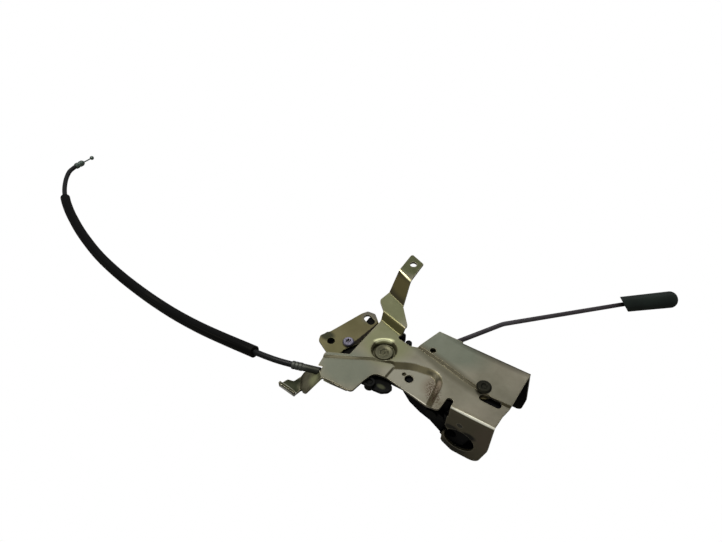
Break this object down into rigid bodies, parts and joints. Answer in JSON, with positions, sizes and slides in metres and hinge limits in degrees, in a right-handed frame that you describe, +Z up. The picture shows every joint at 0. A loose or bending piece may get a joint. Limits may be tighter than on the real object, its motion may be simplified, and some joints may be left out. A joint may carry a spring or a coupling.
{
  "type": "sliding door lock",
  "caption": "Folded steel bracket with a claw latch behind its round mouth, a release lever with a pull cable, and a lock rod that ends in a long grip.",
  "frame": {"origin": "centre of the fixing hole in the bracket's front pad, on the pad's top face", "axes": "+X along the bracket's front bend towards the latch, +Y towards the rear flange, +Z up out of the top plate"},
  "size_m": [0.6672, 0.2913, 0.0788],
  "materials": {
    "main_bracket": "yellow-zinc passivated, satin",
    "back_plate": "yellow-zinc passivated, satin",
    "pivot_rivet": "passivated, satin",
    "pivot_washer": "passivated",
    "release_spring": "oiled spring wire",
    "release_lever": "black, satin",
    "release_link": "black, satin",
    "claw": "black over-moulding",
    "pawl": "black over-moulding",
    "claw_pin": "satin",
    "pawl_pin": "satin",
    "claw_spring": "oiled spring wire",
    "pawl_spring": "oiled spring wire",
    "lock_case": "black moulding",
    "case_cover": "passivated, satin",
    "cover_screws": "zinc",
    "case_rivet": "dark olive",
    "stop_block": "black",
    "plate_screw": "zinc",
    "cable_ferrule": "zinc",
    "cable_sheath": "black",
    "cable_sleeve": "black, ribbed",
    "end_fitting": "zinc",
    "inner_wire": "stranded wire",
    "ball_end": "zinc",
    "lock_lever": "passivated, satin",
    "lock_rod": "dark passivated",
    "rod_clip": "black",
    "rod_knob": "black, matt"
  },
  "bodies": {
    "frame": {"main_bracket": "main_bracket", "back_plate": "back_plate", "pivot_rivet": "pivot_rivet", "pivot_washer": "pivot_washer", "release_spring": "release_spring", "claw_pin": "claw_pin", "pawl_pin": "pawl_pin", "claw_spring": "claw_spring", "pawl_spring": "pawl_spring", "lock_case": "lock_case", "case_cover": "case_cover", "cover_screws": "cover_screws", "case_rivet": "case_rivet", "stop_block": "stop_block", "plate_screw": "plate_screw", "cable_ferrule": "cable_ferrule", "cable_sheath": "cable_sheath", "cable_sleeve": "cable_sleeve", "end_fitting": "end_fitting"},
    "release_lever": {"release_lever": "release_lever"},
    "release_link": {"release_link": "release_link"},
    "pawl": {"pawl": "pawl"},
    "claw": {"claw": "claw"},
    "inner_wire": {"inner_wire": "inner_wire"},
    "ball_end": {"ball_end": "ball_end"},
    "lock_lever": {"lock_lever": "lock_lever"},
    "lock_rod": {"lock_rod": "lock_rod", "rod_clip": "rod_clip", "rod_knob": "rod_knob"}
  },
  "joints": [
    {"name": "release_hinge", "type": "hinge", "parent": "frame", "child": "release_lever", "pos_m": [-0.0291, 0.0125, -0.0063], "axis": [0, 0, 1], "range_deg": [0, 16], "stiffness_Nm_per_rad": 0.03, "springref_deg": -17.19},
    {"name": "wire_slide", "type": "slide", "parent": "frame", "child": "inner_wire", "axis": [0.9622, 0.2723, 0], "range_m": [0, 0.00821]},
    {"name": "ball_slide", "type": "slide", "parent": "frame", "child": "ball_end", "axis": [-0.1414, -0.9899, 0], "range_m": [0, 0.00821]},
    {"name": "link_slide", "type": "slide", "parent": "frame", "child": "release_link", "axis": [1, 0, 0], "range_m": [0, 0.0035]},
    {"name": "pawl_hinge", "type": "hinge", "parent": "frame", "child": "pawl", "pos_m": [0.024, -0.0033, -0.0197], "axis": [0, 1, 0], "range_deg": [0, 19.03]},
    {"name": "claw_hinge", "type": "hinge", "parent": "frame", "child": "claw", "pos_m": [0.048, -0.0033, -0.014], "axis": [0, -1, 0], "range_deg": [0, 39.5], "stiffness_Nm_per_rad": 0.01, "springref_deg": -22.92},
    {"name": "lock_hinge", "type": "hinge", "parent": "frame", "child": "lock_lever", "pos_m": [0.0524, 0.02, -0.001], "axis": [0, 0, -1], "range_deg": [0, 12]},
    {"name": "rod_hinge", "type": "hinge", "parent": "lock_lever", "child": "lock_rod", "pos_m": [0.0035, 0.038, -0.001], "axis": [0, 0, -1], "range_deg": [-12, 0]}
  ],
  "couplings": [
    {"joint": "wire_slide", "follows": "release_hinge", "m_per_rad": 0.029379},
    {"joint": "ball_slide", "follows": "release_hinge", "m_per_rad": 0.029379},
    {"joint": "link_slide", "follows": "release_hinge", "m_per_rad": 0.012481},
    {"joint": "pawl_hinge", "follows": "release_hinge", "ratio": 1.1887},
    {"joint": "rod_hinge", "follows": "lock_hinge", "ratio": -1}
  ]
}
